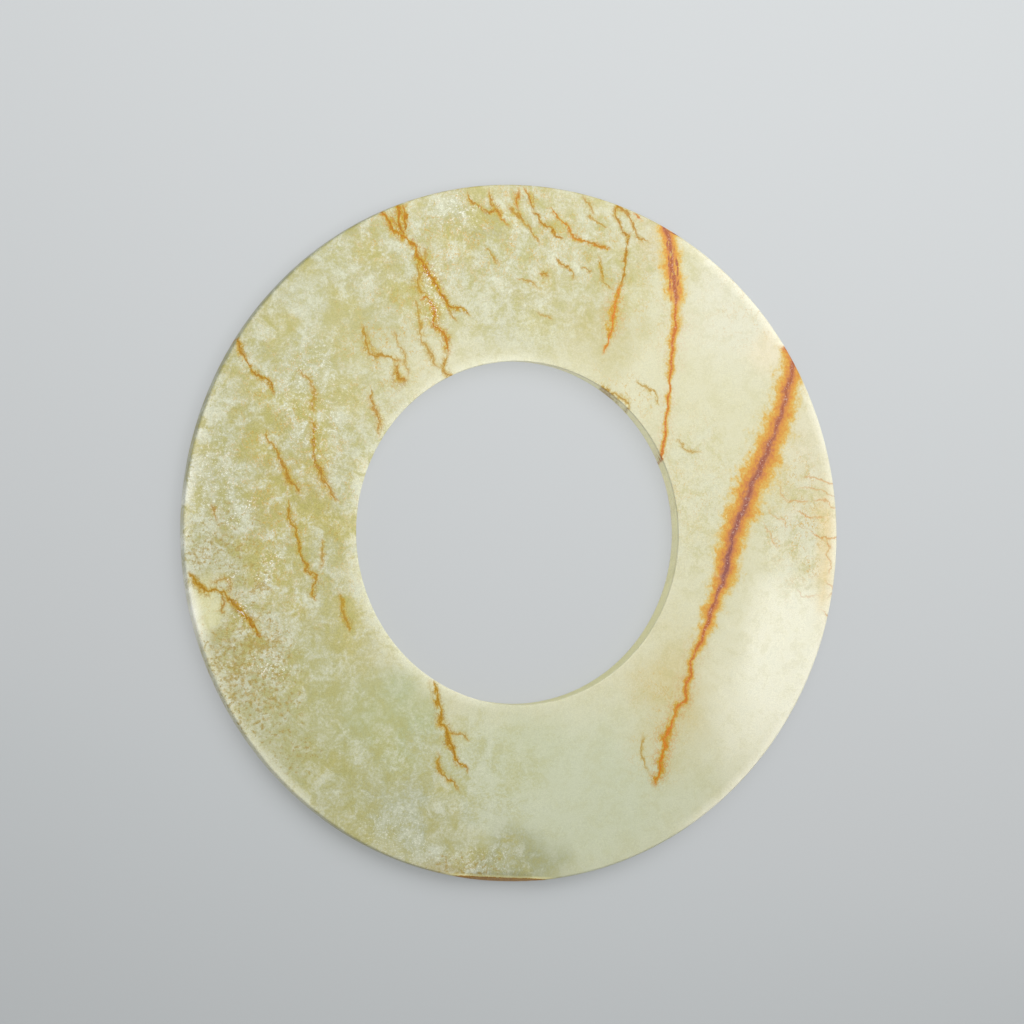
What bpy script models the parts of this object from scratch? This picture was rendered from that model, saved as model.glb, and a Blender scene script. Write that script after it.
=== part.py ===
"""Jade huan disc: one flat ring of nephrite, bored through and lying on a face.

Metres, +Z up. The origin is under the middle of the disc, on the surface that it lies on.
"""
import math

import bpy
from mathutils import Matrix

# Driving sizes of the ring
OUTER_DIAMETER = 0.150
BORE_DIAMETER = 0.0738
BORE_THICKNESS = 0.0050
RIM_THICKNESS = 0.0030
LAND_WIDTH = 0.0100
RIM_ARRIS = 0.00055
BORE_ARRIS = 0.00030

# The bore was drilled a little off centre, and it leans: where its middle lies at mid-thickness,
# and how far it moves along X and Y for each metre of height
BORE_OFFSET = (-0.00020, -0.00003)
BORE_LEAN = (-0.075, -0.047)

# A scrap of the pebble's own skin was left on the rim: a short facet that takes the upper arris away
SKIN_ANGLE = math.radians(266.5)
SKIN_DEPTH = 0.00085
SKIN_LEAN = math.radians(24.0)
CUTTER_SIZE = 0.040

# How finely the solid is faceted
TURN_STEPS = 144
FACE_STEPS = 6
ARRIS_STEPS = 3

JADE_COLOUR = (0.62, 0.65, 0.46, 1.0)
JADE_ROUGHNESS = 0.32

OUTER_RADIUS = OUTER_DIAMETER / 2
BORE_RADIUS = BORE_DIAMETER / 2
MID_HEIGHT = BORE_THICKNESS / 2
LAND_RADIUS = BORE_RADIUS + LAND_WIDTH


def new_collection(name):
    """A collection of that name, in the scene."""
    made = bpy.data.collections.new(name)
    bpy.context.scene.collection.children.link(made)
    return made


def jade():
    """Polished nephrite, with a soft shine."""
    material = bpy.data.materials.new("jade")
    material.use_nodes = True
    shader = material.node_tree.nodes["Principled BSDF"]
    shader.inputs["Base Color"].default_value = JADE_COLOUR
    shader.inputs["Roughness"].default_value = JADE_ROUGHNESS
    shader.inputs["Metallic"].default_value = 0.0
    return material


def half_thickness(radius):
    """Half the stone's thickness: level on the land by the bore, then falling away to the rim."""
    out = max(0.0, (radius - LAND_RADIUS) / (OUTER_RADIUS - LAND_RADIUS))
    return (BORE_THICKNESS + (RIM_THICKNESS - BORE_THICKNESS) * out ** 2) / 2


def arris(wall, face, size, stone_side):
    """A quarter round from a wall's radius up to a face's height. The stone lies on stone_side of the wall."""
    points = []
    for step in range(ARRIS_STEPS + 1):
        turn = math.pi / 2 * step / ARRIS_STEPS
        radius = wall + stone_side * size * (1 - math.cos(turn))
        points.append((radius, face - size * (1 - math.sin(turn))))
    return points


def section():
    """The ring's closed section about mid-thickness: over the upper face, down the rim and back underneath."""
    face_end = OUTER_RADIUS - RIM_ARRIS
    face = []
    for step in range(FACE_STEPS):
        radius = LAND_RADIUS + (face_end - LAND_RADIUS) * step / FACE_STEPS
        face.append((radius, half_thickness(radius)))
    by_bore = arris(BORE_RADIUS, BORE_THICKNESS / 2, BORE_ARRIS, 1)
    by_rim = arris(OUTER_RADIUS, half_thickness(face_end), RIM_ARRIS, -1)
    upper = by_bore + face + by_rim[::-1]
    lower = [(radius, -height) for radius, height in reversed(upper)]
    return upper + lower


def turned_ring(name):
    """The section turned once about Z."""
    points = section()
    mesh = bpy.data.meshes.new(name)
    edges = [(k, (k + 1) % len(points)) for k in range(len(points))]
    mesh.from_pydata([(radius, 0.0, MID_HEIGHT + height) for radius, height in points], edges, [])
    ring = bpy.data.objects.new(name, mesh)
    bpy.context.scene.collection.objects.link(ring)
    turn = ring.modifiers.new("turn", "SCREW")
    turn.axis = "Z"
    turn.steps = TURN_STEPS
    turn.render_steps = TURN_STEPS
    turn.use_merge_vertices = True
    turn.merge_threshold = 0.00001
    return ring


def made_mesh(source):
    """The evaluated object as a plain mesh object. The one that it came from is removed."""
    graph = bpy.context.evaluated_depsgraph_get()
    mesh = bpy.data.meshes.new_from_object(source.evaluated_get(graph))
    name = source.name
    bpy.data.objects.remove(source)
    mesh.name = name
    return bpy.data.objects.new(name, mesh)


def lean_bore(mesh):
    """Moves the bore's wall to where it was drilled. The land takes up the move, so both faces stay level."""
    for vertex in mesh.vertices:
        radius = math.hypot(vertex.co.x, vertex.co.y)
        share = min(1.0, max(0.0, (LAND_RADIUS - radius) / LAND_WIDTH))
        height = vertex.co.z - MID_HEIGHT
        vertex.co.x += share * (BORE_OFFSET[0] + BORE_LEAN[0] * height)
        vertex.co.y += share * (BORE_OFFSET[1] + BORE_LEAN[1] * height)


def skin_cutter(name):
    """A block whose inner side is the skin facet: it leans outwards and down from the upper face."""
    bpy.ops.mesh.primitive_cube_add(size=CUTTER_SIZE)
    cutter = bpy.context.active_object
    cutter.name = name
    rim_top = MID_HEIGHT + half_thickness(OUTER_RADIUS - RIM_ARRIS)
    at_facet = Matrix.Translation((OUTER_RADIUS - SKIN_DEPTH, 0.0, rim_top))
    lean = Matrix.Rotation(-SKIN_LEAN, 4, "Y")
    outside = Matrix.Translation((CUTTER_SIZE / 2, 0.0, 0.0))
    cutter.matrix_world = Matrix.Rotation(SKIN_ANGLE, 4, "Z") @ at_facet @ lean @ outside
    cutter.hide_render = True
    cutter.display_type = "WIRE"
    return cutter


def into(collection, item):
    """Moves an object to a collection, out of any other."""
    for other in list(item.users_collection):
        other.objects.unlink(item)
    collection.objects.link(item)


for old in list(bpy.data.objects):
    bpy.data.objects.remove(old)

parts = new_collection("jade huan disc")
cutters = new_collection("cutters")

disc = made_mesh(turned_ring("jade_huan_disc"))
lean_bore(disc.data)
disc.data.shade_smooth()
disc.data.set_sharp_from_angle(angle=math.radians(35.0))
disc.data.materials.append(jade())
into(parts, disc)

cutter = skin_cutter("skin_cutter")
into(cutters, cutter)
facet = disc.modifiers.new("skin facet", "BOOLEAN")
facet.operation = "DIFFERENCE"
facet.object = cutter
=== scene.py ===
import math

import bpy
import numpy as np
from mathutils import Matrix, Vector
from mathutils.noise import seed_set, turbulence_vector


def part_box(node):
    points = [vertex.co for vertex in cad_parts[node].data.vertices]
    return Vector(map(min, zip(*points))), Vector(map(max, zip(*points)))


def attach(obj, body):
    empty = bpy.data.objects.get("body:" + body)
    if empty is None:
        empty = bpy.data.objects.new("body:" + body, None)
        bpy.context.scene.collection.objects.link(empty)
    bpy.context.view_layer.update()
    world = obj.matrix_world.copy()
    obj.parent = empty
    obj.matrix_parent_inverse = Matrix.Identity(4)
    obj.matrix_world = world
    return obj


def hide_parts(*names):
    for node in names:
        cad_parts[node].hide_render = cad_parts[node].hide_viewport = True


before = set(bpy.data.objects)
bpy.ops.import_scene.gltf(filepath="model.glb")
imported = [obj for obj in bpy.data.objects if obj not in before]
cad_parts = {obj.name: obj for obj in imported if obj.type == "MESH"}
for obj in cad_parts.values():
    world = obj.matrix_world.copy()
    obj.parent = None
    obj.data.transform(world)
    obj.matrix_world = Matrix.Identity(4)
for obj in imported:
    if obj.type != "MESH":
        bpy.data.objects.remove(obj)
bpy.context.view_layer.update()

# The view.
# The disc lies flat, and the camera looks down on it from a little to its left, so that it shows round
# and upright as it does in the photograph.
VIEW_LEAN = math.radians(20.4)
VIEW_SIDE = math.radians(184.1)
VIEW_DISTANCE = 0.900
VIEW_SLIDE = (-0.00119, 0.00444)
LENS = 146.9
SENSOR = 36.0
PICTURE_SIZE = 1024

low, high = (Vector(corner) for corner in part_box("jade_huan_disc"))
OUTER_RADIUS = (high.x - low.x) / 2
THICKNESS = high.z - low.z
MID_HEIGHT = (high.z + low.z) / 2

backwards = Vector((math.sin(VIEW_LEAN) * math.cos(VIEW_SIDE), math.sin(VIEW_LEAN) * math.sin(VIEW_SIDE),
                    math.cos(VIEW_LEAN)))
rightwards = Vector((0.0, 1.0, 0.0)).cross(backwards).normalized()
upwards = backwards.cross(rightwards)
eye = (Vector((0.0, 0.0, MID_HEIGHT)) + VIEW_DISTANCE * backwards
       + VIEW_SLIDE[0] * rightwards + VIEW_SLIDE[1] * upwards)

camera_data = bpy.data.cameras.new("camera")
camera_data.lens = LENS
camera_data.sensor_width = SENSOR
camera_data.clip_start = 0.01
camera = bpy.data.objects.new("camera", camera_data)
turn = Matrix((rightwards, upwards, backwards)).transposed().to_4x4()
camera.matrix_world = Matrix.Translation(eye) @ turn
bpy.context.scene.collection.objects.link(camera)
bpy.context.scene.camera = camera

# The stone's form.
# One pebble of nephrite, sawn flat, drilled through the middle and ground round. Both faces are level by
# the bore and thin towards the rim, and a scrap of the pebble's skin stays on the rim's upper arris.

# Sizes in metres. The bore's middle is set off from the rim's, and shifts by its lean for each metre up.
BORE_RADIUS = 0.0369
RIM_THICKNESS = 0.0030
LAND_RADIUS = 0.0469
RIM_ARRIS = 0.00055
BORE_ARRIS = 0.00030
BORE_OFFSET = (-0.00020, -0.00003)
BORE_LEAN = (-0.075, -0.047)
# The skin facet: where it lies round the rim, how far in it starts, and how far it faces up
SKIN_ANGLE = math.radians(266.5)
SKIN_DEPTH = 0.00085
SKIN_LEAN = math.radians(24.0)
# How deep the grinding's marks go, and how high the foot is that they leave level
UNEVENNESS = 0.00005
LEVEL_FOOT = 0.0002
GRINDING_SEED = 3.0

# How many steps divide the stone around, over a face, and along an arris or a wall
AROUND = 740
UPPER_STEPS = 72
LOWER_STEPS = 20
ARRIS_STEPS = 5
WALL_STEPS = 5


def half_thickness(radius):
    """Half the stone's thickness: level by the bore, then falling away to the rim."""
    out = max(0.0, (radius - LAND_RADIUS) / (OUTER_RADIUS - LAND_RADIUS))
    return (THICKNESS + (RIM_THICKNESS - THICKNESS) * out ** 2) / 2


facet_side = Vector((math.cos(SKIN_ANGLE), math.sin(SKIN_ANGLE), 0.0))
rim_top = MID_HEIGHT + half_thickness(OUTER_RADIUS)
facet_point = facet_side * (OUTER_RADIUS - SKIN_DEPTH) + Vector((0, 0, rim_top))
facet_normal = facet_side * math.cos(SKIN_LEAN) + Vector((0, 0, math.sin(SKIN_LEAN)))


def arris(wall, face, size, stone_side):
    """A quarter round from a wall's radius up to a face's height, with the stone on one side of the wall."""
    points = []
    for step in range(ARRIS_STEPS + 1):
        angle = math.pi / 2 * step / ARRIS_STEPS
        points.append((wall + stone_side * size * (1 - math.cos(angle)),
                       face - size * (1 - math.sin(angle))))
    return points


def steps_between(first, last, count):
    """Points between two others, without them."""
    return [(first[0] + (last[0] - first[0]) * step / count, first[1] + (last[1] - first[1]) * step / count)
            for step in range(1, count)]


def half_section(face_steps):
    """Radius and height above mid-thickness, from the bore's wall over a face to the rim's wall."""
    face_end = OUTER_RADIUS - RIM_ARRIS
    by_bore = arris(BORE_RADIUS, THICKNESS / 2, BORE_ARRIS, 1)
    by_rim = arris(OUTER_RADIUS, half_thickness(face_end), RIM_ARRIS, -1)[::-1]
    face_start = by_bore[-1][0]
    radii = [face_start + (face_end - face_start) * step / face_steps for step in range(1, face_steps)]
    return by_bore + [(radius, half_thickness(radius)) for radius in radii] + by_rim


def section_mesh():
    """The closed section as a loop of edges, flat in X and Y, for the turning."""
    upper = half_section(UPPER_STEPS)
    lower = [(radius, -height) for radius, height in half_section(LOWER_STEPS)[::-1]]
    loop = (upper + steps_between(upper[-1], lower[0], WALL_STEPS)
            + lower + steps_between(lower[-1], upper[0], WALL_STEPS))
    mesh = bpy.data.meshes.new("section")
    loop.reverse()
    mesh.from_pydata([(radius, height, 0.0) for radius, height in loop],
                     [(k, (k + 1) % len(loop)) for k in range(len(loop))], [])
    return mesh


def add(tree, kind, inputs=None, **settings):
    """A node with its settings. Each input is a plain value or another node's output."""
    made = tree.nodes.new(kind)
    for name, value in settings.items():
        setattr(made, name, value)
    for key, value in (inputs or {}).items():
        if isinstance(value, bpy.types.NodeSocket):
            tree.links.new(value, made.inputs[key])
        else:
            made.inputs[key].default_value = value
    return made


def maths(tree, operation, *values):
    """The result of a Math node."""
    return add(tree, "ShaderNodeMath", dict(enumerate(values)), operation=operation).outputs[0]


def times(tree, *values):
    """The product of two or more values."""
    product = values[0]
    for value in values[1:]:
        product = maths(tree, "MULTIPLY", product, value)
    return product


def scaled(tree, vector, factor):
    """A vector or a colour, times a number."""
    return add(tree, "ShaderNodeVectorMath", {0: vector, "Scale": factor}, operation="SCALE").outputs[0]


def dot(tree, vector, other):
    """The dot product of two vectors."""
    return add(tree, "ShaderNodeVectorMath", {0: vector, 1: other}, operation="DOT_PRODUCT").outputs["Value"]


def new_group(name, kind, inputs, outputs):
    """A node group, with its named sockets and the nodes that carry them."""
    tree = bpy.data.node_groups.new(name, kind)
    for title, (socket, value) in inputs.items():
        made = tree.interface.new_socket(title, in_out="INPUT", socket_type="NodeSocket" + socket)
        if value is not None:
            made.default_value = value
    for title, socket in outputs.items():
        tree.interface.new_socket(title, in_out="OUTPUT", socket_type="NodeSocket" + socket)
    return tree, tree.nodes.new("NodeGroupInput").outputs, tree.nodes.new("NodeGroupOutput").inputs


def turned_stone_tree():
    """Turns a section about Z, leans its bore, cuts the skin facet and makes the polish a hair uneven."""
    tree, given, result = new_group("turned stone", "GeometryNodeTree", {
        "Section": ("Geometry", None), "Around": ("Int", AROUND), "Mid Height": ("Float", MID_HEIGHT),
        "Bore Radius": ("Float", BORE_RADIUS), "Land Radius": ("Float", LAND_RADIUS),
        "Bore Offset": ("Vector", (0, 0, 0)), "Bore Lean": ("Vector", (0, 0, 0)),
        "Facet Point": ("Vector", (0, 0, 0)), "Facet Normal": ("Vector", (0, 0, 1)),
        "Unevenness": ("Float", UNEVENNESS), "Level Foot": ("Float", LEVEL_FOOT),
        "Seed": ("Float", GRINDING_SEED), "Material": ("Material", None),
    }, {"Geometry": "Geometry"})
    path = add(tree, "GeometryNodeCurvePrimitiveCircle", {"Resolution": given["Around"], "Radius": 1.0})
    level = add(tree, "GeometryNodeSetCurveNormal", {"Curve": path.outputs["Curve"]}, mode="Z_UP")
    profile = add(tree, "GeometryNodeMeshToCurve", {"Mesh": given["Section"]})
    inward = add(tree, "GeometryNodeTransform", {
        "Geometry": profile.outputs[0], "Translation": (-1.0, 0.0, 0.0)})
    swept = add(tree, "GeometryNodeCurveToMesh", {
        "Curve": level.outputs[0], "Profile Curve": inward.outputs[0]})
    place = add(tree, "GeometryNodeInputPosition").outputs[0]
    parts = add(tree, "ShaderNodeSeparateXYZ", {0: place}).outputs

    radius = maths(tree, "SQRT", maths(tree, "ADD", times(tree, parts[0], parts[0]),
                                       times(tree, parts[1], parts[1])))
    share = add(tree, "ShaderNodeMapRange", {
        "Value": radius, "From Min": given["Land Radius"], "From Max": given["Bore Radius"]}).outputs[0]
    leant = scaled(tree, given["Bore Lean"], parts[2])
    moved = add(tree, "ShaderNodeVectorMath", {0: given["Bore Offset"], 1: leant}, operation="ADD")
    shift = scaled(tree, moved.outputs[0], share)
    bored = add(tree, "GeometryNodeSetPosition", {"Geometry": swept.outputs[0], "Offset": shift})

    # What stands out past the facet's plane is pushed back onto it.
    lift = add(tree, "ShaderNodeCombineXYZ", {"Z": given["Mid Height"]}).outputs[0]
    raised = add(tree, "GeometryNodeTransform", {"Geometry": bored.outputs[0], "Translation": lift})
    past = add(tree, "ShaderNodeVectorMath", {0: place, 1: given["Facet Point"]}, operation="SUBTRACT")
    proud = maths(tree, "MAXIMUM", dot(tree, past.outputs[0], given["Facet Normal"]), 0.0)
    back = scaled(tree, given["Facet Normal"], times(tree, proud, -1.0))
    faceted = add(tree, "GeometryNodeSetPosition", {"Geometry": raised.outputs[0], "Offset": back})

    # Hand grinding left the stone a hair uneven and nibbled its arrises. It only takes stone away, and
    # the face that it lies on stays level.
    broad = add(tree, "ShaderNodeTexNoise", {
        "Vector": place, "W": given["Seed"], "Scale": 70.0, "Detail": 2.0}, noise_dimensions="4D")
    fine = add(tree, "ShaderNodeTexNoise", {
        "Vector": place, "W": given["Seed"], "Scale": 420.0, "Detail": 3.0}, noise_dimensions="4D")
    dents = maths(tree, "ADD", broad.outputs[0], times(tree, fine.outputs[0], 0.4))
    normal = add(tree, "GeometryNodeInputNormal").outputs[0]
    sink = scaled(tree, normal, times(tree, dents, given["Unevenness"], -1.0))
    above = maths(tree, "GREATER_THAN", parts[2], given["Level Foot"])
    worn = add(tree, "GeometryNodeSetPosition", {
        "Geometry": faceted.outputs[0], "Selection": above, "Offset": sink})
    smooth = add(tree, "GeometryNodeSetShadeSmooth", {"Geometry": worn.outputs[0]})
    real = add(tree, "GeometryNodeRealizeInstances", {"Geometry": smooth.outputs[0]})
    finished = add(tree, "GeometryNodeSetMaterial", {
        "Geometry": real.outputs[0], "Material": given["Material"]})
    tree.links.new(finished.outputs[0], result[0])
    return tree


def built(name, mesh, tree, values):
    """The tree's result on a mesh, as a plain mesh object at the origin."""
    host = bpy.data.objects.new(name, mesh)
    bpy.context.scene.collection.objects.link(host)
    modifier = host.modifiers.new("build", "NODES")
    modifier.node_group = tree
    sockets = {item.name: item.identifier for item in tree.interface.items_tree if item.in_out == "INPUT"}
    for title, value in values.items():
        modifier[sockets[title]] = value
    graph = bpy.context.evaluated_depsgraph_get()
    result = bpy.data.meshes.new_from_object(host.evaluated_get(graph))
    host.modifiers.remove(modifier)
    host.data = result
    result.name = name
    bpy.data.meshes.remove(mesh)
    return host


def stone_point(x, y):
    """Where the photograph's pixel lies on the disc's upper face, in metres."""
    focal = LENS / SENSOR * PICTURE_SIZE
    middle = PICTURE_SIZE / 2
    ray = rightwards * (x - middle) / focal + upwards * (middle - y) / focal - backwards
    # The face falls away to the rim, so its height there is found in a few rounds.
    height = THICKNESS
    for _ in range(4):
        spot = eye + ray * (height - eye.z) / ray.z
        height = MID_HEIGHT + half_thickness(math.hypot(spot.x, spot.y))
    return spot


# Cracks and their stains.
# Iron from the ground crept into the stone's cracks and coloured their sides, from pale ochre where it
# is thin to russet and nearly black at the open crack. Each crack runs through the whole thickness.

# One pixel of the photograph, in mm on the stone
PIXEL = 0.215
# Each crack: its heat at its start and at its end, from 0 for ochre to 1 for russet, its strength, and its
# points. A point is a place in the photograph and the stain's half-width there, all in pixels.
RUSSET_CRACKS = (
    (0.85, 1.0, 1.0, (
        (786, 346, 9), (790, 355, 12), (792, 364, 14), (790, 377, 14), (785.5, 391, 15), (784, 402, 14),
        (781, 412, 14), (777, 424, 15), (774, 433, 15), (770, 444, 16), (766, 454, 16), (761, 466, 15),
        (756.5, 476.5, 16.5), (751, 485, 15), (749, 494, 16), (747, 502, 15), (743, 510.5, 14.5),
        (736.5, 524.5, 14), (732.5, 537, 14), (730, 549.5, 14), (726.5, 566, 13), (724, 578.5, 11.5))),
    (0.95, 0.75, 1.0, ((724, 578.5, 11.5), (719, 591, 10), (713, 606, 9), (708, 622, 8), (701, 641, 6))),
    (0.72, 0.55, 1.0, (
        (701, 641, 6.6), (695, 653, 5.5), (691.5, 658, 4.4), (690.5, 666, 3.7), (691, 674.5, 3.7),
        (687, 680, 4), (686, 684, 4.4), (686.5, 691, 4.2), (686, 697, 3.5), (684, 702, 3.3), (678, 706, 4),
        (675, 711.5, 3.7), (673, 718.5, 3.3), (671, 726.5, 3.3), (667, 734, 4.2), (664.5, 740, 4.4),
        (667, 744, 3.1), (664, 750, 3.3), (661.5, 755.5, 3.7), (661, 766.5, 3.3), (660, 773, 2.6),
        (656, 779, 2.6), (655, 784, 1.6))),
    (0.88, 0.84, 1.0, (
        (663, 224, 7.2), (665, 231, 9.7), (668, 238, 10.2), (670, 245, 10.2), (670, 252, 11.2),
        (671, 264, 10.2), (671.5, 271, 10.2), (674, 280, 11.2), (675, 290, 11.2), (675, 297, 10.2),
        (676, 304, 5.1))),
    (0.72, 0.68, 1.0, (
        (676, 304, 6.1), (675, 312, 4.9), (675, 320, 5.5), (676, 324, 7.4), (674, 331, 5.5),
        (673, 339, 4.9), (671.6, 344, 6.8), (672.6, 350.6, 5.5), (671, 360, 4.4), (670.7, 372, 4.7),
        (670, 379, 2.2), (669.7, 387, 1.7), (668.8, 395.6, 3.7), (668, 404, 3.7), (667, 412, 3.2),
        (666, 423, 2.5), (665, 432, 3.2), (664.5, 439, 3.2), (663.5, 445.4, 2), (661, 453, 2.5),
        (663, 458, 1.2))),
    (0.9, 0.85, 0.85, (
        (666, 240, 2), (667.5, 251, 2.8), (668.5, 262, 3), (669.5, 272, 3.4), (669.8, 286.6, 3.2),
        (671.5, 300, 2))),
    (0.9, 0.85, 0.85, (
        (673, 248, 2), (675.5, 262, 3), (677.8, 274, 3.4), (677, 284, 3.6), (676.3, 300, 2.4))),
    (1.0, 1.0, 0.9, ((660.6, 226.5, 1.6), (668, 230.5, 1.8), (675.9, 235.3, 1.6))),
)
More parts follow.
